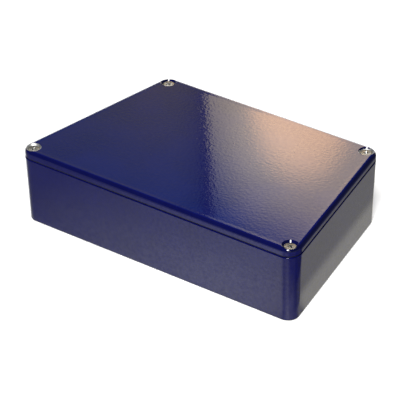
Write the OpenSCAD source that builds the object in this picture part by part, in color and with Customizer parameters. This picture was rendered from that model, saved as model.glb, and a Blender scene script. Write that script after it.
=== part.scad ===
// Die-cast enclosure with a trapezoidal plan, a flush lid and four countersunk lid screws.
// Millimetres, +Z up. The origin is the middle of the bounding box, on the underside of the base.
// The long wall faces -Y (front), the short wall faces +Y (back), and left is -X.

/* [Body] */
// Outer length of the long front wall, between the projected corners
front_w = 188; // [170:1:210]
// Outer length of the short back wall, between the projected corners
back_w = 147.6; // [130:0.1:165]
// Outer depth from the front wall to the back wall
depth = 114.7; // [100:0.1:135]
// Overall height with the lid on
total_h = 46.5; // [42:0.5:60]
// Radius of the upright corners at the parting line
corner_r = 7.8; // [6.5:0.1:10]
// Radius along the bottom edge
foot_r = 1.1; // [0.6:0.1:1.8]
// How far the outer walls lean in from the parting line down to the underside
draft_in = 1.27; // [0.6:0.01:1.6]

/* [Walls] */
// Wall thickness at the rim
wall = 2.4; // [2:0.1:3.2]
// Floor thickness
floor_t = 2.6; // [2:0.1:4]
// How far each cavity wall leans in from the rim to the floor
core_draft = 1.9; // [1:0.1:2.4]
// Radius between the cavity walls and the floor
floor_r = 2.4; // [1.5:0.1:3]

/* [Lid] */
// Height of the lid's visible edge
lid_edge = 4.8; // [4:0.1:6]
// Thickness of the lid's middle panel
lid_panel = 2.5; // [2:0.1:3]
// Radius along the lid's top edge
lid_r = 2.4; // [1.2:0.1:2.6]
// Break on the two edges that meet at the parting line
seam_r = 0.45; // [0.2:0.05:0.6]
// Depth of the locating lip below the parting line
lip_h = 1.6; // [1:0.1:2.5]
// Thickness of the locating lip, before lip_ease comes off its outside
lip_t = 1.6; // [1.2:0.1:2]
// Gap between the locating lip and the cavity wall, before lip_ease is added
lip_gap = 0.3; // [0.2:0.05:0.5]

/* [Screws] */
// Distance from the outer walls to the middle of each screw hole
hole_in = 6.0; // [5.6:0.1:6.8]
// Thread diameter
screw_d = 3.5; // [3:0.1:3.6]
// Screw length over all, counted from the face of the countersunk head
screw_l = 16; // [13:0.5:20]
// Head diameter
head_d = 6.8; // [6.2:0.1:7.1]
// Included angle of the countersink
csk_angle = 82; // [82:8:90]
// Mouth diameter of the countersink in the lid
mouth_d = 9.1; // [8.4:0.1:9.4]
// Clearance hole diameter in the lid
clear_d = 4.2; // [4:0.1:4.4]
// Radius of the screw pillars near the rim
pillar_r = 5.2; // [4.8:0.1:5.6]
// Depth of the tapped holes below the rim, down to the drill point
tap_depth = 17; // [16:0.5:22]
// Radial clearance drawn between the plain thread cylinder and the tapped hole
thread_gap = 0.05; // [0.02:0.01:0.09]

/* [Hidden] */

paint = [0.055, 0.06, 0.33];
zinc = [0.78, 0.77, 0.74];

corner_facets = 12;           // facets round each upright corner
edge_angles = [0:15:90];      // steps round each rolled edge
min_corner_r = 0.6;           // smallest upright corner radius
over = 1;                     // how far shapes run past the faces they cut or join

// Plan
half_front = front_w / 2;
half_back = back_w / 2;
half_depth = depth / 2;
taper = atan((half_front - half_back) / depth);   // lean of the side walls in plan
seam_z = total_h - lid_edge;                      // height of the parting line
seam_mid = seam_r * 0.3;                          // offset of the middle ring of each seam break

// Pillars and tapped holes
pillar_flare = 0.7;           // extra pillar radius at the bottom
tap_r = screw_d / 2 + thread_gap;
drill_h = 1;
drill_tip_r = 0.2;

// Lid lip and pads
lip_ease = 0.1;
lip_outer = wall + lip_gap + lip_ease;            // inset of the lip's outside
lip_inner = wall + lip_gap + lip_t;               // inset of the lip's inside
lip_outer_r = corner_r - 1.4;
lip_inner_r = corner_r - 3;
lip_root = 0.5;                                   // how far the lip runs up into the lid
lip_break_r = pillar_r + 1.7;                     // radius of the lip's gaps at the pillars
pad_r = pillar_r + 2.8;

// Countersink and screw head
csk_slope = tan(csk_angle / 2);                   // radius gained per unit of height
csk_depth = (mouth_d - clear_d) / 2 / csk_slope;
csk_below = 0.1;                                  // cone carried down into the clearance hole
head_land = 0.25;                                 // straight edge of the head
seat_trim = 0.02;                                 // taken off the head's cone and off its sink
head_cone = (head_d - screw_d) / 2 / csk_slope - seat_trim;
sink = (mouth_d - head_d) / 2 / csk_slope - head_land - seat_trim;   // head face below the lid

// Screw thread and cross recess
tip_h = 0.7;                  // height and radial reduction of the chamfered end
thread_top = 0.3;             // top of the thread cylinder below the head's face
slot_l = 3.8;
slot_w = 0.9;
slot_depth = 1.1;
socket_depth = 1.8;           // conical middle of the recess
socket_r1 = 0.5;
socket_r2 = 1.2;
recess_tool_h = 2;            // height of the shapes that cut the recess

// Corners run front left, front right, back right, back left.
// First and last outward directions of the arc at each corner:
arc_from = [180 - taper, 270, taper, 90];
arc_to = [270, 360 + taper, 90, 180 - taper];

// X of the right side wall at y, moved in square to the wall.
function side_x(y, inset) = half_front - (y + half_depth) * tan(taper) - inset / cos(taper);

// Plan corner moved in from both of its walls.
function corner(i, inset) =
    let (
        y = i < 2 ? -half_depth + inset : half_depth - inset,
        side = (i == 0 || i == 3) ? -1 : 1
    )
    [side * side_x(y, inset), y];

// Plan outline moved in by inset, with rounded corners.
function outline(inset, radius) = [
    for (i = [0:3])
        let (centre = corner(i, inset + radius))
        for (k = [0:corner_facets])
            let (angle = arc_from[i] + (arc_to[i] - arc_from[i]) * k / corner_facets)
            centre + radius * [cos(angle), sin(angle)]
];

// Loft ring [z, outline], its corner radius shrinking as the outline moves in.
function ring(z, inset) = [z, outline(inset, max(corner_r - inset, min_corner_r))];

// Rings of a rounded bottom edge that starts at height z and ends at the wall's inset.
function bottom_edge(z, inset, radius) = [
    for (a = edge_angles) ring(z + radius * (1 - cos(a)), inset + radius * (1 - sin(a)))
];

// Rings of the lid's rounded top edge.
function top_edge() = [
    for (a = edge_angles) ring(total_h - lid_r + lid_r * sin(a), lid_r * (1 - cos(a)))
];

// Closed solid through a stack of rings that all hold the same number of points.
module loft(rings) {
    count = len(rings[0][1]);
    last = len(rings) - 1;
    points = [for (level = rings) for (p = level[1]) [p[0], p[1], level[0]]];
    bottom = [for (k = [0:count - 1]) k];
    top = [for (k = [count - 1:-1:0]) last * count + k];
    sides = [
        for (j = [0:last - 1]) for (k = [0:count - 1])
            let (next = (k + 1) % count)
            [j * count + k, (j + 1) * count + k, (j + 1) * count + next, j * count + next]
    ];
    polyhedron(points = points, faces = concat([bottom], sides, [top]), convexity = 4);
}

module plan(inset, radius) {
    polygon(outline(inset, radius));
}

module at_holes() {
    for (i = [0:3]) translate(concat(corner(i, hole_in), 0)) children();
}

// Drafted outside with a rounded foot and a broken rim.
module shell() {
    loft(concat(
        bottom_edge(0, draft_in, foot_r),
        [ring(seam_z - seam_r, draft_in * seam_r / seam_z),
         ring(seam_z - seam_mid, seam_mid),
         ring(seam_z, seam_r)]));
}

// Inside space, less the four screw pillars.
module cavity() {
    difference() {
        loft(concat(
            bottom_edge(floor_t, wall + core_draft, floor_r),
            [ring(seam_z + over, wall)]));
        at_holes() translate([0, 0, floor_t - over])
            cylinder(h = seam_z, r1 = pillar_r + pillar_flare, r2 = pillar_r, $fn = 64);
    }
}

// Blind holes, drawn as plain bores with a drill point.
module tapped_holes() {
    at_holes() translate([0, 0, seam_z - tap_depth]) {
        cylinder(h = tap_depth + over, r = tap_r, $fn = 48);
        translate([0, 0, -drill_h])
            cylinder(h = drill_h + 0.001, r1 = drill_tip_r, r2 = tap_r, $fn = 48);
    }
}

module enclosure_base() {
    color(paint) difference() {
        shell();
        cavity();
        tapped_holes();
    }
}

// Visible edge and top panel, still solid.
module lid_plate() {
    loft(concat(
        [ring(seam_z, seam_r), ring(seam_z + seam_mid, seam_mid), ring(seam_z + seam_r, 0)],
        top_edge()));
}

// Locating lip, interrupted at the pillars.
module lid_lip() {
    translate([0, 0, seam_z - lip_h]) linear_extrude(lip_h + lip_root) difference() {
        plan(lip_outer, lip_outer_r);
        plan(lip_inner, lip_inner_r);
        at_holes() circle(r = lip_break_r, $fn = 64);
    }
}

// Relief under the panel that leaves pads round the holes.
module lid_relief() {
    translate([0, 0, seam_z - over]) linear_extrude(lid_edge - lid_panel + over) difference() {
        plan(lip_inner, lip_inner_r);
        at_holes() circle(r = pad_r, $fn = 64);
    }
}

// Clearance holes and countersinks.
module lid_holes() {
    at_holes() {
        translate([0, 0, seam_z - lip_h - over])
            cylinder(h = lid_edge + lip_h + 2 * over, r = clear_d / 2, $fn = 48);
        translate([0, 0, total_h - csk_depth - csk_below])
            cylinder(h = csk_depth + csk_below + over, r1 = clear_d / 2 - csk_below * csk_slope,
                r2 = mouth_d / 2 + over * csk_slope, $fn = 64);
    }
}

module lid() {
    color(paint) difference() {
        union() {
            lid_plate();
            lid_lip();
        }
        lid_relief();
        lid_holes();
    }
}

// Head and thread, with the head's face at z = 0.
module screw_body() {
    thread_r = screw_d / 2;
    translate([0, 0, -head_land]) cylinder(h = head_land, r = head_d / 2, $fn = 64);
    translate([0, 0, -head_land - head_cone])
        cylinder(h = head_cone, r1 = thread_r, r2 = head_d / 2, $fn = 64);
    translate([0, 0, -screw_l + tip_h])
        cylinder(h = screw_l - tip_h - thread_top, r = thread_r, $fn = 48);
    translate([0, 0, -screw_l]) cylinder(h = tip_h, r1 = thread_r - tip_h, r2 = thread_r, $fn = 48);
}

module cross_recess() {
    for (a = [0, 90]) rotate([0, 0, a])
        translate([-slot_l / 2, -slot_w / 2, -slot_depth]) cube([slot_l, slot_w, recess_tool_h]);
    translate([0, 0, -socket_depth])
        cylinder(h = recess_tool_h, r1 = socket_r1, r2 = socket_r2, $fn = 32);
}

// Screw at corner i, its recess turned by the given angle.
module lid_screw(i, turn) {
    color(zinc) translate(concat(corner(i, hole_in), total_h - sink)) difference() {
        union() screw_body();
        rotate([0, 0, turn]) cross_recess();
    }
}

module lid_screw_front_left() { lid_screw(0, turn = 18); }
module lid_screw_front_right() { lid_screw(1, turn = 64); }
module lid_screw_back_right() { lid_screw(2, turn = 39); }
module lid_screw_back_left() { lid_screw(3, turn = 77); }

enclosure_base();
lid();
lid_screw_front_left();
lid_screw_front_right();
lid_screw_back_left();
lid_screw_back_right();
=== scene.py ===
import math

import bpy
import numpy as np
from mathutils import Matrix, Vector


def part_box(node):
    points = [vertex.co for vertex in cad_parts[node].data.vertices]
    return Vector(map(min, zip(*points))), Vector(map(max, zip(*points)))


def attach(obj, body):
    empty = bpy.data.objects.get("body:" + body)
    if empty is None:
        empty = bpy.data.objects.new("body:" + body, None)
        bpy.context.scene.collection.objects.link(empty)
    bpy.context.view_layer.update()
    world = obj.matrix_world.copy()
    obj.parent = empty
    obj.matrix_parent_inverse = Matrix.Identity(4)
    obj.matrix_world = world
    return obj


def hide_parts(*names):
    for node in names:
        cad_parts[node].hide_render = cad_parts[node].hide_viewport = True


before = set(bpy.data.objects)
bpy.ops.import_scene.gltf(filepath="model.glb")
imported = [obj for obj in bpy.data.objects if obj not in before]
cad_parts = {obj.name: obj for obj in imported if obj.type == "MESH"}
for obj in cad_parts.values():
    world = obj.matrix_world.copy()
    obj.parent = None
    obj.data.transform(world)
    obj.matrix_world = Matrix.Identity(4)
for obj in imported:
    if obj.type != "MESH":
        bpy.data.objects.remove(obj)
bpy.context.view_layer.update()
scene = bpy.context.scene

# ------------------------------------------------------------------ sizes (mm)
MM = 0.001


def box_mm(node):
    lo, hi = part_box(node)
    return np.array(lo) / MM, np.array(hi) / MM


# The order of the corners everywhere: front left, front right, back right, back left
SCREWS = ["lid_screw_front_left", "lid_screw_front_right",
          "lid_screw_back_right", "lid_screw_back_left"]
SCREW_BOXES = [box_mm(node) for node in SCREWS]
HOLES = [((lo[0] + hi[0]) / 2, (lo[1] + hi[1]) / 2) for lo, hi in SCREW_BOXES]
base_top = box_mm("enclosure_base")[1]
lid_lo, lid_hi = box_mm("lid")

SEAM, TOP = float(base_top[2]), float(lid_hi[2])
HALF_DEPTH = float(base_top[1])
INSET = HOLES[0][1] + HALF_DEPTH            # hole centre to the walls
TAPER = math.atan((HOLES[1][0] - HOLES[2][0]) / (HOLES[2][1] - HOLES[1][1]))
HALF_WIDTH = HOLES[1][0] + INSET * math.tan(TAPER) + INSET / math.cos(TAPER)  # at the front

CORNER_R, FOOT_R = 7.8, 1.1
DRAFT = 1.27                                # the walls stand this far in at the foot
WALL = 2.4                                  # wall thickness at the seam
CORE = 1.9                                  # and how much it gains down to the floor
FLOOR, FLOOR_R = 2.6, 2.4
PILLAR_R, PILLAR_DRAFT, PILLAR_FILLET = 5.2, 0.7, 3.2
BORE_R, BORE_CHAMFER = 1.8, 0.45            # screw bores in the base

GROOVE, GROOVE_DEPTH = 0.96, 1.15           # the gap at the seam: height below it, depth
ENTRY = 0.16                                # radius of its rounded entry
LIFT = 0.44                                 # its height above the seam

LID_PANEL, LID_R = 2.5, 2.4
CEILING = TOP - LID_PANEL
CEILING_R = 1.2
BEAD = 0.017                                # the top edge stands this much proud of the face
FACE = TOP - BEAD
LIP_HEIGHT = float(SEAM - lid_lo[2])
LIP_WIDTH, LIP_INSET = 1.5, 2.8
LIP_END_GAP = 6.6                           # hole centre to the end of a lip
LIP_EDGE_R, LIP_CORNER_R = 0.5, 0.7
LID_POST_R, LID_FILLET = 7.9, 2.5

SINK_MOUTH, CLEARANCE = 9.1, 4.2            # countersink and clearance hole, diameters
SINK_HALF_ANGLE = math.radians(41)
SINK_RIM_R = 0.32

THREAD_PITCH, THREAD_R = 0.794, 1.75
ROOT_R = THREAD_R - 0.6134 * THREAD_PITCH
NECK_R = 1.52
SCREW_TURNS = [18, 64, 39, 77]              # how far each cross recess is turned, degrees

# ------------------------------------------------------------------ outlines
TAPER_DEG = math.degrees(TAPER)
# Directions of the wall normals before and after each corner, degrees
ARC_START = [180 - TAPER_DEG, 270, TAPER_DEG, 90]
ARC_END = [270, 360 + TAPER_DEG, 90, 180 - TAPER_DEG]


def unit(degrees):
    return np.array([math.cos(math.radians(degrees)), math.sin(math.radians(degrees))])


def left_of(direction):
    return np.array([-direction[1], direction[0]])


def heading(vector):
    return math.degrees(math.atan2(vector[1], vector[0]))


def angles(steps, start, end):
    """Evenly spaced angles in radians, from start to end in degrees."""
    return [math.radians(start + (end - start) * k / steps) for k in range(steps + 1)]


def arc_points(centre, radius, start, end, steps):
    return [centre + radius * unit(start + (end - start) * k / steps) for k in range(steps + 1)]


def corner(index, inset):
    y = -HALF_DEPTH + inset if index < 2 else HALF_DEPTH - inset
    x = HALF_WIDTH - (y + HALF_DEPTH) * math.tan(TAPER) - inset / math.cos(TAPER)
    return np.array([-x if index in (0, 3) else x, y])


def ring(z, inset):
    """The outer outline moved in by inset, at height z."""
    radius = max(CORNER_R - inset, 0.4)
    points = []
    for i in range(4):
        points += arc_points(corner(i, inset + radius), radius, ARC_START[i], ARC_END[i], 24)
    return z, np.array(points)


def end_after(start, end):
    """The angle end, counted so that it follows start within one turn."""
    while end < start:
        end += 360
    while end - start > 360:
        end -= 360
    return end


def pocket(inset, post_r, fillet_r):
    """The outline moved in by inset, going round a post at each hole, with filleted roots."""
    points = []
    for i in range(4):
        hole = np.array(HOLES[i])
        normal_in, normal_out = unit(ARC_START[i]), unit(ARC_END[i])
        reach = INSET - inset - fillet_r
        spread = math.sqrt((post_r + fillet_r) ** 2 - reach ** 2)
        fillet_in = hole + normal_in * reach - left_of(normal_in) * spread
        fillet_out = hole + normal_out * reach + left_of(normal_out) * spread

        start = ARC_START[i]
        end = end_after(start, heading(hole - fillet_in))
        points += arc_points(fillet_in, fillet_r, start, end, 9)

        # round the post the other way; its end points belong to the fillets
        start, end = heading(fillet_in - hole), heading(fillet_out - hole)
        while end > start:
            end -= 360
        points += arc_points(hole, post_r, start, end, 18)[1:-1]

        start = heading(hole - fillet_out)
        points += arc_points(fillet_out, fillet_r, start, end_after(start, ARC_END[i]), 9)
    return np.array(points)


# ------------------------------------------------------------------ mesh helpers
def make_obj(name, verts, faces, materials, ids):
    mesh = bpy.data.meshes.new(name)
    mesh.from_pydata([tuple(map(float, vert)) for vert in verts], [],
                     [tuple(int(k) for k in face) for face in faces])
    for material in materials:
        mesh.materials.append(material)
    for polygon, k in zip(mesh.polygons, ids):
        polygon.material_index = k
    mesh.update()
    obj = bpy.data.objects.new(name, mesh)
    scene.collection.objects.link(obj)
    return obj


def around(count):
    """Each index of a closed loop with the next one."""
    return [(k, (k + 1) % count) for k in range(count)]


def band(lower, upper, count):
    return [(lower + k, lower + q, upper + q, upper + k) for k, q in around(count)]


def loft(rings):
    """Closed solid through (z, outline) rings, from the bottom up."""
    count = len(rings[0][1])
    last = (len(rings) - 1) * count
    verts = [(x, y, z) for z, points in rings for x, y in points]
    faces = [tuple(range(count - 1, -1, -1))]
    for start in range(0, last, count):
        faces += band(start, start + count, count)
    faces.append(tuple(range(last, last + count)))
    return verts, faces


def revolve(profile, seg, centre=(0.0, 0.0), turn=0.0):
    """Closed solid from (radius, z) points, from the bottom up; both ends close on the axis."""
    verts = [(*centre, profile[0][1])]
    for radius, z in profile:
        for k in range(seg):
            angle = 2 * math.pi * (k + turn) / seg
            verts.append((centre[0] + radius * math.cos(angle),
                          centre[1] + radius * math.sin(angle), z))
    tip, last_row = len(verts), len(verts) - seg
    verts.append((*centre, profile[-1][1]))
    faces = [(0, 1 + q, 1 + k) for k, q in around(seg)]
    for start in range(1, last_row, seg):
        faces += band(start, start + seg, seg)
    faces += [(tip, last_row + k, last_row + q) for k, q in around(seg)]
    return verts, faces


def boolean(target, parts, operation, materials):
    """Apply (verts, faces, material id or ids) parts to target as one cutter."""
    verts, faces, ids = [], [], []
    for part_verts, part_faces, part_ids in parts:
        offset = len(verts)
        verts += part_verts
        faces += [tuple(k + offset for k in face) for face in part_faces]
        ids += part_ids if isinstance(part_ids, list) else [part_ids] * len(part_faces)
    cutter = make_obj("cutter", verts, faces, materials, ids)
    modifier = target.modifiers.new("cut", "BOOLEAN")
    modifier.operation, modifier.solver, modifier.object = operation, "EXACT", cutter
    bpy.context.view_layer.update()
    depsgraph = bpy.context.evaluated_depsgraph_get()
    result = bpy.data.meshes.new_from_object(
        target.evaluated_get(depsgraph), preserve_all_data_layers=True, depsgraph=depsgraph)
    old = target.data
    target.modifiers.clear()
    target.data = result
    bpy.data.meshes.remove(old)
    bpy.data.objects.remove(cutter)


def finish_mesh(obj, angle=38.0, weighted=True):
    """Scale to metres and smooth the shading up to the given edge angle."""
    mesh = obj.data
    mesh.transform(Matrix.Scale(MM, 4))
    mesh.polygons.foreach_set("use_smooth", [True] * len(mesh.polygons))
    mesh.set_sharp_from_angle(angle=math.radians(angle))
    mesh.update()
    if weighted:
        modifier = obj.modifiers.new("normals", "WEIGHTED_NORMAL")
        modifier.mode = "FACE_AREA"
        modifier.weight = 80
        modifier.keep_sharp = True


# ------------------------------------------------------------------ shader helpers
class Shader:
    """Short calls that add nodes to the tree of a material or a world."""

    def __init__(self, owner, surface=None, position="Object"):
        owner.use_nodes = True
        self.owner, self.tree = owner, owner.node_tree
        if surface:
            self.tree.nodes.clear()
            self.output = self.node("OutputMaterial")
            self.surface = self.node(surface)
            self.link(self.surface.outputs[0], self.output.inputs[0])
        self.position = self.node("TexCoord").outputs[position]

    def node(self, kind):
        return self.tree.nodes.new("ShaderNode" + kind)

    def link(self, output, socket):
        self.tree.links.new(output, socket)

    def set(self, socket, value):
        if hasattr(value, "is_linked"):
            self.link(value, socket)
        else:
            socket.default_value = value

    def fill(self, values):
        """Set or link inputs of the surface shader by name."""
        for name, value in values.items():
            self.set(self.surface.inputs[name], value)

    def noise(self, scale, detail=2.0, rough=0.5, vector=None, distortion=0.0):
        node = self.node("TexNoise")
        node.inputs["Scale"].default_value = scale
        node.inputs["Detail"].default_value = detail
        node.inputs["Roughness"].default_value = rough
        node.inputs["Distortion"].default_value = distortion
        self.link(vector or self.position, node.inputs["Vector"])
        return node.outputs[0]

    def voronoi(self, scale):
        node = self.node("TexVoronoi")
        node.inputs["Scale"].default_value = scale
        self.link(self.position, node.inputs["Vector"])
        return node.outputs["Distance"]

    def math(self, operation, first, second=None, clamp=False):
        node = self.node("Math")
        node.operation, node.use_clamp = operation, clamp
        self.set(node.inputs[0], first)
        if second is not None:
            self.set(node.inputs[1], second)
        return node.outputs[0]

    def times(self, first, second, clamp=False):
        return self.math("MULTIPLY", first, second, clamp)

    def plus(self, first, second):
        return self.math("ADD", first, second)

    def minus(self, first, second):
        return self.math("SUBTRACT", first, second)

    def ramp(self, value, over, to=(0.0, 1.0), smooth=True):
        """Map the range over onto the range to."""
        node = self.node("MapRange")
        node.interpolation_type = "SMOOTHSTEP" if smooth else "LINEAR"
        self.link(value, node.inputs["Value"])
        for name, limit in zip(("From Min", "From Max", "To Min", "To Max"), (*over, *to)):
            node.inputs[name].default_value = limit
        return node.outputs[0]

    def mix(self, factor, first, second):
        """Blend two colours."""
        node = self.node("Mix")
        node.data_type = "RGBA"
        self.set(node.inputs[0], factor)
        for socket, colour in ((node.inputs[6], first), (node.inputs[7], second)):
            self.set(socket, (*colour, 1.0) if isinstance(colour, tuple) else colour)
        return node.outputs[2]

    def blend(self, factor, first, second):
        """Blend two numbers."""
        node = self.node("Mix")
        node.data_type = "FLOAT"
        for socket, value in zip((0, 2, 3), (factor, first, second)):
            self.set(node.inputs[socket], value)
        return node.outputs[0]

    def bump(self, height, depth, normal=None, strength=1.0):
        node = self.node("Bump")
        node.inputs["Strength"].default_value = strength
        node.inputs["Distance"].default_value = depth
        self.link(height, node.inputs["Height"])
        if normal is not None:
            self.link(normal, node.inputs["Normal"])
        return node.outputs[0]

    def xyz(self, vector=None):
        node = self.node("SeparateXYZ")
        self.link(vector or self.position, node.inputs[0])
        return node.outputs

    def scaled(self, scale):
        node = self.node("Mapping")
        node.inputs["Scale"].default_value = scale
        self.link(self.position, node.inputs["Vector"])
        return node.outputs[0]

    def vector(self, operation, first, second, socket=1, output="Vector"):
        node = self.node("VectorMath")
        node.operation = operation
        self.set(node.inputs[0], first)
        self.set(node.inputs[socket], second)
        return node.outputs[output]

    def along(self, direction):
        """The position measured along a direction."""
        return self.vector("DOT_PRODUCT", self.position, direction, output="Value")


def new_material(name, surface="BsdfPrincipled"):
    return Shader(bpy.data.materials.new(name), surface)


# ------------------------------------------------------------------ materials
BLUE = (0.0030, 0.0044, 0.102)


def blue(*factors):
    return tuple(part * factor for part, factor in zip(BLUE, factors))


def paint_bump(sh):
    """Long waves, two sizes of orange peel and a few raised nibs."""
    normal = sh.bump(sh.noise(scale=26.0, detail=1.0), depth=3.2e-5)
    normal = sh.bump(sh.noise(scale=640.0, detail=1.8), depth=1.35e-5, normal=normal)
    normal = sh.bump(sh.noise(scale=1500.0, detail=1.0), depth=3.0e-6, normal=normal)
    nib = sh.ramp(sh.voronoi(scale=210.0), over=(0.0, 0.09), to=(1.0, 0.0))
    keep = sh.ramp(sh.noise(scale=330.0, detail=0.0), over=(0.60, 0.66))
    return sh.bump(sh.times(nib, keep), depth=1.4e-5, normal=normal)


def paint_material(name):
    sh = new_material(name)
    cloud = sh.noise(scale=38.0, detail=3.0, rough=0.55)
    fine = sh.noise(scale=900.0, rough=0.6)
    colour = sh.mix(sh.ramp(cloud, over=(0.3, 0.7)),
                    blue(0.85, 0.85, 0.9), blue(1.2, 1.2, 1.1))
    colour = sh.mix(sh.ramp(fine, over=(0.25, 0.75), to=(0.0, 0.35)),
                    colour, blue(0.6, 0.6, 0.7))
    # painted shade: rounded edges are darkened nearly to black, most on those that face +x
    normal_x, _, normal_z = sh.xyz(sh.node("NewGeometry").outputs["Normal"])
    tilt = sh.math("ABSOLUTE", normal_z)
    edge = sh.times(sh.ramp(tilt, over=(0.12, 0.35)),
                    sh.ramp(tilt, over=(0.90, 0.985), to=(1.0, 0.0)))
    painted_edge_shade = sh.times(edge, sh.ramp(normal_x, over=(0.25, 0.65), to=(0.36, 0.66)))
    colour = sh.mix(painted_edge_shade, colour, (0.0015, 0.0017, 0.004))
    smear = sh.noise(scale=16.0, detail=4.0, rough=0.6, vector=sh.scaled((1.0, 0.55, 1.0)),
                     distortion=0.6)
    mottle = sh.ramp(sh.noise(scale=560.0, detail=3.0, rough=0.65), over=(0.32, 0.68),
                     smooth=False)
    # the mottle swings the specular level, less on level faces
    weak = sh.ramp(tilt, over=(0.2, 0.8), to=(0.39, 0.425))
    strong = sh.ramp(tilt, over=(0.2, 0.8), to=(0.61, 0.575))
    sh.fill({
        "Base Color": colour,
        "Roughness": sh.ramp(smear, over=(0.35, 0.75), to=(0.028, 0.050)),
        "IOR": 1.5,
        "Specular IOR Level": sh.blend(mottle, weak, strong),
        "Normal": paint_bump(sh)})
    return sh.owner


def cast_material(name, bare_z, blue_z):
    """Raw cast metal with blue overspray that thins out from blue_z to bare_z (mm)."""
    sh = new_material(name)
    z = sh.xyz()[2]
    flow = sh.noise(scale=60.0, detail=4.0, rough=0.62, vector=sh.scaled((1.0, 1.0, 0.25)),
                    distortion=1.2)
    grain = sh.noise(scale=2200.0, rough=0.6)
    pit = sh.ramp(sh.voronoi(scale=900.0), over=(0.0, 0.12), to=(1.0, 0.0))
    metal = sh.mix(sh.ramp(flow, over=(0.3, 0.72)), (0.46, 0.47, 0.48), (0.66, 0.66, 0.66))
    metal = sh.mix(sh.ramp(grain, over=(0.4, 0.8), to=(0.0, 0.3)), metal, (0.33, 0.34, 0.36))
    # height in mm, made ragged by up to 5 mm either way
    ragged = sh.ramp(sh.noise(scale=120.0, detail=4.0, rough=0.7), over=(0.2, 0.8),
                     to=(-5.0, 5.0), smooth=False)
    spray = sh.ramp(sh.plus(sh.times(z, 1000.0), ragged), over=(bare_z, blue_z))
    speck = sh.ramp(sh.noise(scale=1500.0, detail=3.0, rough=0.7), over=(0.36, 0.56))
    spray = sh.times(spray, sh.blend(spray, speck, 1.0), clamp=True)
    normal = sh.bump(flow, depth=2.5e-5)
    normal = sh.bump(grain, depth=6.0e-6, normal=normal)
    sh.fill({
        "Base Color": sh.mix(spray, metal, BLUE),
        "Metallic": sh.blend(spray, 1.0, 0.0),
        "Roughness": sh.blend(spray, sh.ramp(flow, over=(0.3, 0.7), to=(0.36, 0.55)),
                              sh.ramp(grain, over=(0.3, 0.7), to=(0.14, 0.4))),
        "Normal": sh.bump(pit, depth=1.0e-5, normal=normal, strength=0.5)})
    return sh.owner


def bare_material(name):
    """Machined, uncoated metal with fine turning marks along z."""
    mark_pitch = 0.00016
    sh = new_material(name)
    marks = sh.math("SINE", sh.times(sh.xyz()[2], 2 * math.pi / mark_pitch))
    wobble = sh.noise(scale=700.0)
    sh.fill({
        "Base Color": sh.mix(sh.ramp(wobble, over=(0.3, 0.7)),
                             (0.48, 0.485, 0.485), (0.62, 0.625, 0.62)),
        "Metallic": 1.0,
        "Roughness": sh.ramp(wobble, over=(0.3, 0.7), to=(0.50, 0.62)),
        "Normal": sh.bump(wobble, depth=8e-6, normal=sh.bump(marks, depth=1.2e-6))})
    return sh.owner


def zinc_material(name):
    """Plated screws: soft blotches and fine scratches."""
    sh = new_material(name)
    blotch = sh.noise(scale=420.0, detail=3.0, rough=0.6)
    fine = sh.noise(scale=3800.0, rough=0.6)
    scratch = sh.noise(scale=1400.0, detail=1.0, vector=sh.scaled((1.0, 6.0, 1.0)))
    sh.fill({
        "Base Color": sh.mix(sh.ramp(blotch, over=(0.3, 0.7)),
                             (0.36, 0.36, 0.355), (0.46, 0.46, 0.45)),
        "Metallic": 1.0,
        "Roughness": sh.plus(sh.ramp(blotch, over=(0.3, 0.7), to=(0.38, 0.50)),
                             sh.ramp(scratch, over=(0.55, 0.8), to=(0.0, 0.12))),
        "Normal": sh.bump(scratch, depth=2.0e-6, normal=sh.bump(fine, depth=1.5e-6))})
    return sh.owner


paint = paint_material("powder_coat")
cast_base = cast_material("cast_inside_base", bare_z=SEAM - 14.0, blue_z=SEAM + 1.0)
cast_lid = cast_material("cast_inside_lid", bare_z=SEAM + 3.4, blue_z=SEAM - 1.5)
bare = bare_material("machined_metal")
zinc = zinc_material("zinc_plate")
PAINT, CAST, BARE = 0, 1, 2                 # material slots of both castings
BASE_MATS = (paint, cast_base, bare)
LID_MATS = (paint, cast_lid, bare)


def recesses(profile, places):
    """Shallow round cuts in a cast surface."""
    return [(*revolve(profile, 40, place), CAST) for place in places]


# ------------------------------------------------------------------ base casting
def base_cavity():
    root = FLOOR + FLOOR_R
    # z, offset outward (negative) or inward from the wall line
    levels = [(FLOOR + FLOOR_R * (1 - math.cos(a)), FLOOR_R * (1 - math.sin(a)))
              for a in angles(7, 0, 90)]
    levels += [(SEAM - 0.35, 0.0), (SEAM - 0.12, -0.1), (SEAM, -0.3), (SEAM + 1.0, -0.4)]
    rings = []
    for z, offset in levels:
        below = 1 - min(max((z - root) / (SEAM - root), 0.0), 1.0)
        rings.append((z, pocket(WALL + CORE * below + offset,
                                PILLAR_R + PILLAR_DRAFT * below + offset,
                                PILLAR_FILLET - offset)))
    return loft(rings)


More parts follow.
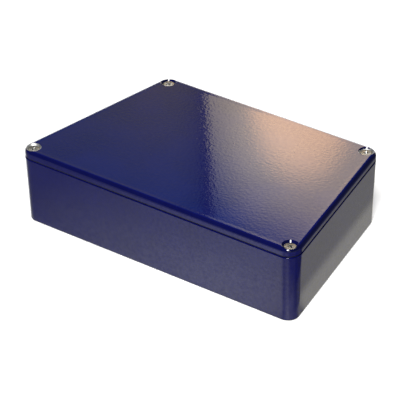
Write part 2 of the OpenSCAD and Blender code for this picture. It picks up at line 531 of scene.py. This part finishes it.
def build_base():
    # z, inset: rounded foot, drafted wall, then the step into the seam groove
    levels = [(FOOT_R * (1 - math.cos(a)), DRAFT + FOOT_R * (1 - math.sin(a)))
              for a in angles(8, 0, 90)]
    levels.append((SEAM - GROOVE, DRAFT * GROOVE / SEAM))
    levels += [(SEAM - GROOVE + ENTRY * math.sin(a), ENTRY * (1 - math.cos(a)))
               for a in angles(5, 0, 75)[1:]]
    levels += [(SEAM - GROOVE + ENTRY + 0.04, GROOVE_DEPTH - 0.25),
               (SEAM - 0.22, GROOVE_DEPTH), (SEAM, GROOVE_DEPTH)]
    verts, faces = loft([ring(*level) for level in levels])
    base = make_obj("base_casting", verts, faces, BASE_MATS, [PAINT] * len(faces))
    boolean(base, [(*base_cavity(), CAST)], "DIFFERENCE", BASE_MATS)

    mouth_r = BORE_R + BORE_CHAMFER
    bore = [(0.15, SEAM - 18.0), (BORE_R, SEAM - 17.0), (BORE_R, SEAM - BORE_CHAMFER),
            (mouth_r, SEAM), (mouth_r + 1.0, SEAM + 1.0)]
    parts = [(*revolve(bore, 40, hole), BARE) for hole in HOLES]
    floor_recess = [(3.1, FLOOR - 0.22), (3.3, FLOOR - 0.02), (3.5, FLOOR + 0.4)]
    places = ((30.0, -30.0), (30.0, 26.0), (68.0, -36.0), (58.0, 34.0))
    parts += recesses(floor_recess, [(side * x, y) for side in (-1, 1) for x, y in places])
    boolean(base, parts, "DIFFERENCE", BASE_MATS)
    finish_mesh(base)
    return base


# ------------------------------------------------------------------ lid casting
def lid_shell():
    # share of BEAD dropped, inset past the rounded edge
    bead = ((0.03, 0.2), (0.16, 0.55), (0.42, 1.0), (0.72, 1.5), (0.92, 2.0), (1.0, 2.6))
    levels = [(SEAM, GROOVE_DEPTH), (SEAM + LIFT - 0.02, GROOVE_DEPTH)]
    levels += [(SEAM + LIFT + ENTRY * (1 - math.cos(a)), ENTRY * (1 - math.sin(a)))
               for a in angles(5, 15, 90)]
    levels += [(TOP - LID_R + LID_R * math.sin(a), LID_R * (1 - math.cos(a)))
               for a in angles(12, 0, 90)]
    levels += [(TOP - BEAD * drop, LID_R + inset) for drop, inset in bead]
    return loft([ring(*level) for level in levels])


def lid_cavity():
    inset = LIP_INSET + LIP_WIDTH
    rings = [(SEAM - 1.0, pocket(inset + 0.1, LID_POST_R - 0.1, LID_FILLET + 0.1)),
             (SEAM, pocket(inset + 0.2, LID_POST_R, LID_FILLET))]
    for a in angles(5, 0, 90):
        offset = 0.25 + CEILING_R * (1 - math.cos(a))
        rings.append((CEILING - CEILING_R + CEILING_R * math.sin(a),
                      pocket(inset + 0.2 + offset, LID_POST_R + offset, LID_FILLET - offset)))
    return loft(rings)


def lid_lip(i):
    """The straight lip under the lid, between hole i and the next."""
    normal = unit(ARC_END[i])
    along = left_of(normal)
    start, end = np.array(HOLES[i]), np.array(HOLES[(i + 1) % 4])
    length = float((end - start) @ along) - 2 * LIP_END_GAP
    middle = (start + end) / 2
    middle = middle + normal * (INSET - LIP_INSET - LIP_WIDTH / 2 - (middle - start) @ normal)
    levels = [(SEAM - LIP_HEIGHT + LIP_EDGE_R * (1 - math.sin(a)),
               LIP_EDGE_R * (1 - math.cos(a))) for a in angles(5, 90, 0)]
    levels.append((SEAM + 0.3, -0.02))      # runs a little way into the lid
    rings = []
    for z, offset in levels:
        radius = max(LIP_CORNER_R - offset, 0.12)
        half_length = length / 2 - offset - radius
        half_width = LIP_WIDTH / 2 - offset - radius
        points = []
        for q, (side_x, side_y) in enumerate(((1, -1), (1, 1), (-1, 1), (-1, -1))):
            centre = np.array([side_x * half_length, side_y * half_width])
            points += [middle + along * x - normal * y
                       for x, y in arc_points(centre, radius, -90 + 90 * q, 90 * q, 5)]
        rings.append((z, np.array(points)))
    return loft(rings)


def cone_z(radius):
    return FACE - (SINK_MOUTH / 2 - radius) / math.tan(SINK_HALF_ANGLE)


def countersink(i):
    """Screw hole i with its cone and rounded rim; two of the four are uncoated inside."""
    hole_r, mouth_r = CLEARANCE / 2, SINK_MOUTH / 2
    slope = math.radians(90) - SINK_HALF_ANGLE
    rim_r = mouth_r + SINK_RIM_R * math.tan(slope / 2)
    profile = [(hole_r, SEAM - 3.0), (hole_r, cone_z(hole_r))]
    profile += [(float(r), float(cone_z(r))) for r in np.linspace(hole_r, mouth_r - 0.35, 7)[1:]]
    profile += [(rim_r + SINK_RIM_R * math.cos(a),
                 FACE - SINK_RIM_R + SINK_RIM_R * math.sin(a) + 0.008)
                for a in angles(6, 90 + math.degrees(slope), 90)]
    profile.append((rim_r + 0.02, TOP + 1.0))
    verts, faces = revolve(profile, 64, HOLES[i])
    ids = []
    for face in faces:
        x, y, z = np.mean([verts[k] for k in face], axis=0) - (*HOLES[i], FACE)
        coat = 0.22                         # the coat reaches this far down
        if i == 2:                          # and further on one side of the back right hole
            coat += 0.55 * max(0.0, (-0.75 * x + 0.66 * y) / max(math.hypot(x, y), 1e-6))
        ids.append(BARE if i in (0, 2) and -z > coat else PAINT)
    return verts, faces, ids


def build_lid():
    verts, faces = lid_shell()
    lid = make_obj("lid_casting", verts, faces, LID_MATS, [CAST] + [PAINT] * (len(faces) - 1))
    boolean(lid, [(*lid_cavity(), CAST)], "DIFFERENCE", LID_MATS)
    boolean(lid, [(*lid_lip(i), CAST) for i in range(4)], "UNION", LID_MATS)
    ceiling_recess = [(3.4, CEILING - 0.4), (3.2, CEILING + 0.02), (3.0, CEILING + 0.22)]
    places = [(x, y) for x in (-60.0, -20.0, 20.0, 60.0) for y in (-32.0, 30.0)]
    parts = [countersink(i) for i in range(4)] + recesses(ceiling_recess, places)
    boolean(lid, parts, "DIFFERENCE", LID_MATS)
    finish_mesh(lid)
    return lid


# ------------------------------------------------------------------ lid screws
def thread_radius(z, turn, top, end):
    phase = abs(2 * ((z / THREAD_PITCH - turn) % 1.0) - 1)
    crest = min(max((phase - 0.14) / 0.72, 0.0), 1.0)
    fade = min(max((top - z) / 0.7, 0.0), 1.0)
    radius = ROOT_R + (THREAD_R - ROOT_R) * crest
    radius = NECK_R + (radius - NECK_R) * fade
    return min(radius, 0.95 + (z - end) * 0.95)     # tapered tip


def screw_body(length, head_r):
    """A countersunk screw hanging from z = 0."""
    seg = 40
    # radius, z: flat head, rounded edge, cone, neck
    rows = [(r, 0.0) for r in (0.5, 1.2, 2.0, 2.7)]
    rows += [(head_r - 0.12, 0.0), (head_r - 0.035, -0.03), (head_r, -0.12), (head_r, -0.25)]
    cone_height = (head_r - THREAD_R) / math.tan(SINK_HALF_ANGLE)
    rows += [(head_r + (THREAD_R - head_r) * k / 6, -0.25 - cone_height * k / 6)
             for k in range(1, 7)]
    cone_end = rows[-1][1]
    rows += [(1.60, cone_end - 0.06), (NECK_R, cone_end - 0.18), (NECK_R, cone_end - 0.30)]
    rings = [([radius] * seg, z) for radius, z in rows]

    top, end = cone_end - 0.34, -length
    steps = int(round((top - end - 0.02) / (THREAD_PITCH / 12)))
    for j in range(steps + 1):
        z = top + (end + 0.02 - top) * j / steps
        rings.append(([thread_radius(z, k / seg, top, end) for k in range(seg)], z))
    rings += [([0.93] * seg, end), ([0.4] * seg, end)]

    verts = [(0.0, 0.0, 0.0)]
    for radii, z in rings:
        for k in range(seg):
            angle = 2 * math.pi * k / seg
            verts.append((radii[k] * math.cos(angle), radii[k] * math.sin(angle), z))
    tip, last_row = len(verts), len(verts) - seg
    verts.append((0.0, 0.0, end))
    faces = []
    for k, q in around(seg):
        faces.append((0, 1 + k, 1 + q))
        faces += [(row + k, row + seg + k, row + seg + q, row + q)
                  for row in range(1, last_row, seg)]
        faces.append((last_row + k, tip, last_row + q))
    return verts, faces


def cross_ring(z, reach, half):
    """A four-armed outline: arm length and half width."""
    points = []
    for q in range(4):
        arm, side = unit(90 * q), unit(90 * q + 90)
        points += [arm * reach - side * half * 0.92, arm * (reach + 0.05),
                   arm * reach + side * half * 0.92,
                   unit(90 * q + 45) * half * math.sqrt(2) * 1.12]
    return z, np.array(points)


def recess_cutters():
    # z, reach, half width of the cross
    stations = ((-1.75, 0.62, 0.30), (-0.9, 1.18, 0.36), (-0.12, 1.72, 0.42),
                (0.0, 1.84, 0.47), (0.5, 2.3, 0.7))
    # radius, z of the pointed core
    core = [(0.05, -2.15), (0.55, -1.72), (0.80, -0.6), (0.98, -0.02), (1.06, 0.5)]
    return loft([cross_ring(*station) for station in stations]), revolve(core, 32, turn=0.5)


def build_screw(i):
    lo, hi = SCREW_BOXES[i]
    verts, faces = screw_body(length=hi[2] - lo[2], head_r=(hi[0] - lo[0]) / 2)
    screw = make_obj(SCREWS[i] + "_threaded", verts, faces, (zinc,), [0] * len(faces))
    for cutter in recess_cutters():
        boolean(screw, [(*cutter, 0)], "DIFFERENCE", (zinc,))
    screw.data.transform(Matrix.Translation((*HOLES[i], hi[2]))
                         @ Matrix.Rotation(math.radians(SCREW_TURNS[i]), 4, "Z"))
    finish_mesh(screw, angle=32.0, weighted=False)
    return screw


pieces = [(build_base(), "enclosure_base", "base_coat"), (build_lid(), "lid", "lid_coat")]
pieces += [(build_screw(i), node, "screw_metal") for i, node in enumerate(SCREWS)]
for piece, node, slot in pieces:
    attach(piece, node)
    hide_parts(node)


# ------------------------------------------------------------------ floor
def painted_floor_reflection(sh, x, y):
    """Painted reflection: strength of the glow that glossy rays see on the paper, standing in for
    the paper as mirrored in the paint.
    """
    front = sh.ramp(x, over=(-0.105, 0.045), to=(0.40, 1.52), smooth=False)
    front = sh.times(front, sh.ramp(y, over=(-0.105, -0.062), to=(0.78, 1.0)))
    front = sh.times(front, sh.ramp(x, over=(0.020, 0.070), to=(1.0, 0.90)))
    front = sh.blend(sh.ramp(x, over=(0.068, 0.130), smooth=False), front, 0.24)
    # painted reflection: a strip along the right wall, dimming with the gap from it
    lean = math.tan(TAPER)
    wall_x = sh.minus((HALF_WIDTH - HALF_DEPTH * lean) * MM, sh.times(y, lean))
    gap = sh.minus(x, wall_x)
    strip = sh.blend(sh.ramp(gap, over=(0.0040, 0.0098)),
                     sh.ramp(y, over=(-0.052, -0.036), to=(0.30, 0.98)),
                     sh.ramp(y, over=(-0.055, -0.010), to=(0.22, 0.57)))
    strip = sh.times(strip, sh.ramp(gap, over=(0.0200, 0.0260), to=(1.0, 0.80)))
    strip = sh.blend(sh.ramp(gap, over=(0.0270, 0.0345)), strip, 0.12)
    side = sh.blend(sh.ramp(x, over=(-0.02, 0.03)), 1.7, strip)
    painted_reflection = sh.blend(sh.ramp(y, over=(-0.060, -0.046)), front, side)
    # painted reflection: light and dark streaks that fan out from the front right corner
    fan_x, fan_y = (HALF_WIDTH - CORNER_R * 1.09) * MM, (-HALF_DEPTH + CORNER_R) * MM
    turn = sh.math("ARCTAN2", sh.minus(x, fan_x), sh.minus(fan_y, y))
    # angle and half width (radians), gain or loss of light
    streaks = ((-0.03, 0.33, -0.38), (0.49, 0.30, 0.45), (1.02, 0.20, 0.05),
               (2.46, 0.38, -0.44))
    for angle, width, gain in streaks:
        off = sh.math("ABSOLUTE", sh.minus(turn, angle))
        painted_reflection = sh.times(painted_reflection, sh.ramp(off, over=(0.0, width), to=(1.0 + gain, 1.0)))
    return painted_reflection


def floor_material():
    sh = new_material("floor_paper")
    rays = sh.node("LightPath").outputs
    x, y, _ = sh.xyz()
    # painted light: the paper glows for the camera only, weakly near the object and running out to
    # white away from it
    away = sh.math("SQRT", sh.plus(sh.times(x, x), sh.times(y, y)))
    painted_paper_glow = sh.ramp(away, over=(0.16, 0.60), to=(0.44, 1.3))
    sh.fill({
        "Base Color": sh.mix(sh.ramp(sh.noise(scale=3.0), over=(0.3, 0.7)),
                             (0.86, 0.86, 0.86), (0.89, 0.89, 0.89)),
        "Roughness": 0.85,
        "Specular IOR Level": 0.1,
        "Emission Color": (1, 1, 1, 1),
        "Emission Strength": sh.times(rays["Is Camera Ray"], painted_paper_glow)})
    painted_reflection = painted_floor_reflection(sh, x, y)
    # glossy rays see this glow in place of the paper; it turns warmer towards +x, a painted warm
    # reflection
    mirror = sh.node("Emission")
    sh.link(sh.mix(sh.ramp(x, over=(0.03, 0.09)), (1.0, 1.0, 1.0), (1.0, 0.970, 0.81)),
            mirror.inputs["Color"])
    # painted shade: glossy rays that come down steeply see the painted reflection dimmed, as if
    # the paper were shaded
    steep = sh.math("ABSOLUTE", sh.xyz(sh.node("NewGeometry").outputs["Incoming"])[2])
    sh.link(sh.times(painted_reflection, sh.ramp(steep, over=(0.66, 0.93), to=(1.0, 0.30))),
            mirror.inputs["Strength"])
    # dimmed for diffuse rays, replaced by the mirror pattern for glossy ones
    select, dimmed = sh.node("MixShader"), sh.node("MixShader")
    sh.link(sh.times(rays["Is Diffuse Ray"], 0.55), dimmed.inputs[0])
    sh.link(sh.surface.outputs[0], dimmed.inputs[1])
    sh.link(rays["Is Glossy Ray"], select.inputs[0])
    sh.link(dimmed.outputs[0], select.inputs[1])
    sh.link(mirror.outputs[0], select.inputs[2])
    sh.link(select.outputs[0], sh.output.inputs[0])
    return sh.owner


half = 6.0
floor = make_obj("floor", [(-half, -half, 0), (half, -half, 0), (half, half, 0), (-half, half, 0)],
                 [(0, 1, 2, 3)], (floor_material(),), [0])
floor.location.z = -0.00002


# ------------------------------------------------------------------ camera
def direction(azimuth, elevation):
    """Unit vector; azimuth runs from the front (-y) towards +x."""
    return Vector((math.sin(azimuth) * math.cos(elevation),
                   -math.cos(azimuth) * math.cos(elevation), math.sin(elevation)))


AZIMUTH, ELEVATION, ROLL = math.radians(36.42), math.radians(32.27), math.radians(-0.86)
DISTANCE, SHIFT_RIGHT, SHIFT_UP = 1.29239033, -0.00758267, 0.01356733
# level directions as the camera sees them: away from it and to its right
AWAY = Vector((-math.sin(AZIMUTH), math.cos(AZIMUTH), 0.0))
SIDEWAYS = Vector((math.cos(AZIMUTH), math.sin(AZIMUTH), 0.0))

back = direction(AZIMUTH, ELEVATION)
level = (-back).cross(Vector((0, 0, 1))).normalized()
upright = level.cross(-back)
right = level * math.cos(ROLL) + upright * math.sin(ROLL)
up = -level * math.sin(ROLL) + upright * math.cos(ROLL)
place = back * DISTANCE + right * SHIFT_RIGHT + up * SHIFT_UP
cam_data = bpy.data.cameras.new("camera")
cam = bpy.data.objects.new("camera", cam_data)
scene.collection.objects.link(cam)
cam.matrix_world = Matrix((*zip(right, up, back, place), (0, 0, 0, 1)))
cam_data.sensor_width = 36.0
cam_data.lens = 204.6879
cam_data.clip_start, cam_data.clip_end = 0.02, 30.0
scene.camera = cam


# ------------------------------------------------------------------ lights
def area(name, location, width, height, radiance, colour):
    """Rectangular lamp aimed at the object."""
    light = bpy.data.lights.new(name, "AREA")
    light.shape = "RECTANGLE"
    light.size = width
    light.size_y = height
    light.energy = radiance * math.pi * light.size * light.size_y
    light.color = colour
    lamp = bpy.data.objects.new(name, light)
    scene.collection.objects.link(lamp)
    lamp.location = location
    towards = (Vector((0, 0, 0.02)) - lamp.location).normalized()
    lamp.rotation_mode = "QUATERNION"
    lamp.rotation_quaternion = towards.to_track_quat("-Z", "Y")


area("key_softbox", direction(math.radians(29.0), math.radians(54.0)) * 1.6,
     width=0.36, height=0.6, radiance=40.0, colour=(1.0, 0.985, 0.96))
# long low strip behind the object, for its back and left sides
area("back_strip", Vector((-0.588 * 0.978, 0.809 * 0.978, 0.208)) * 1.8,
     width=2.2, height=0.42, radiance=5.5, colour=(0.97, 0.98, 1.0))


# ------------------------------------------------------------------ world
def build_world():
    """Dim room: dark towards the camera, a soft pale wall low behind the object."""
    world = bpy.data.worlds.new("studio")
    scene.world = world
    sh = Shader(world, position="Generated")
    z = sh.xyz()[2]
    ahead, across = sh.along(AWAY), sh.along(SIDEWAYS)
    # the wall: colour by height, then shaded and warmed from side to side
    wall = sh.mix(sh.ramp(z, over=(0.484, 0.546), smooth=False),
                  (0.46, 0.43, 0.0), (0.08, 0.20, 0.50))
    wall = sh.mix(sh.ramp(z, over=(0.30, 0.47)), (0.55, 0.54, 0.52), wall)
    fade = sh.times(sh.ramp(across, over=(-0.14, -0.015), to=(0.62, 1.08)),
                    sh.ramp(across, over=(-0.0075, -0.0026), to=(1.0, 0.72)))
    wall = sh.mix(fade, (0.0, 0.0, 0.0), wall)
    warmth = sh.mix(sh.ramp(across, over=(-0.050, -0.018)), (1.0, 1.0, 1.0), (1.30, 1.17, 0.97))
    wall = sh.vector("MULTIPLY", wall, warmth)
    roof = sh.mix(sh.ramp(z, over=(0.55, 0.64)), wall, (0.05, 0.055, 0.065))
    # the rest: a low glow except towards the back, and a bright spot at the front right
    spot = sh.along((0.593 * 0.946, -0.805 * 0.946, 0.326))
    behind = sh.along((0.286, 0.958, 0.0))
    glow = sh.times(sh.ramp(z, over=(0.0, 0.26), to=(1.0, 0.0)),
                    sh.ramp(behind, over=(0.70, 0.90), to=(1.0, 0.0)))
    dark = sh.mix(glow, (0.045, 0.05, 0.06), (0.50, 0.52, 0.55))
    dark = sh.mix(sh.ramp(spot, over=(0.955, 0.9992)), dark, (1.25, 1.27, 1.3))
    room = sh.mix(sh.ramp(ahead, over=(0.60, 0.78)), dark, roof)
    room = sh.mix(sh.node("LightPath").outputs["Is Camera Ray"], room, (1.1, 1.1, 1.1))
    background = sh.tree.nodes["Background"]
    sh.link(room, background.inputs[0])
    background.inputs[1].default_value = 1.0


build_world()


# ------------------------------------------------------------------ diffuser
def lobe(sh, value, z, centre, spread, power):
    """Soft patch of light; centre and spread are (sideways, z)."""
    first = sh.times(sh.minus(value, centre[0]), 1.0 / spread[0])
    second = sh.times(sh.minus(z, centre[1]), 1.0 / spread[1])
    falloff = sh.math("POWER", sh.plus(sh.times(first, first), sh.times(second, second)), power)
    return sh.math("POWER", math.e, sh.times(falloff, -1.0))


def diffuser_material():
    """Soft grey with a warm lamp behind it."""
    sh = new_material("diffuser", "Emission")
    across = sh.along(SIDEWAYS)
    z = sh.xyz()[2]

    def light(amount, colour):
        return sh.vector("SCALE", colour, amount, socket="Scale")

    def add(first, second):
        return sh.vector("ADD", first, second)

    # distance from the slightly leaning left edge of the lit part
    edge = sh.plus(sh.times(sh.minus(z, 0.750), 0.050), 0.0037)
    inside = sh.minus(across, edge)
    step = sh.ramp(inside, over=(-0.0019, 0.0025))
    rise = sh.ramp(inside, over=(0.0, 0.047))
    low = sh.ramp(sh.minus(z, across), over=(0.650, 0.882), to=(1.0, 0.0))
    warm = lobe(sh, across, z, centre=(0.1149, 0.6726), spread=(0.0665, 0.1311), power=4.0)
    middle = sh.times(lobe(sh, across, z, centre=(0.0689, 0.7783), spread=(0.0596, 0.0752),
                           power=1.0), step)
    glow = add(light(step, (-0.07, 0.08, 0.54)), light(sh.times(step, low), (2.24, 1.74, 0.45)))
    glow = add(add(light(1.0, (0.07, 0.07, 0.07)), glow),
               light(sh.times(rise, low), (1.04, 0.78, 0.64)))
    glow = add(glow, add(light(warm, (4.14, 2.03, 0.87)), light(middle, (0.87, 0.87, 0.70))))
    sh.fill({"Color": glow, "Strength": 1.0})
    return sh.owner


# A large upright panel behind the object, mirrored in the lid
PANEL_AWAY = 1.2
LEFT, RIGHT, BOTTOM, ROOF = -0.0055, 0.26, 0.55, 0.93
outline = ((LEFT, BOTTOM), (RIGHT, BOTTOM), (RIGHT, ROOF), (LEFT + 0.004, ROOF))
panel = make_obj("diffuser", [AWAY * PANEL_AWAY + SIDEWAYS * x + Vector((0, 0, z))
                              for x, z in outline],
                 [(0, 1, 2, 3)], (diffuser_material(),), [0])
panel.visible_camera = False

scene.view_settings.view_transform = "Standard"
scene.view_settings.look = "None"
scene.view_settings.exposure = 0.0
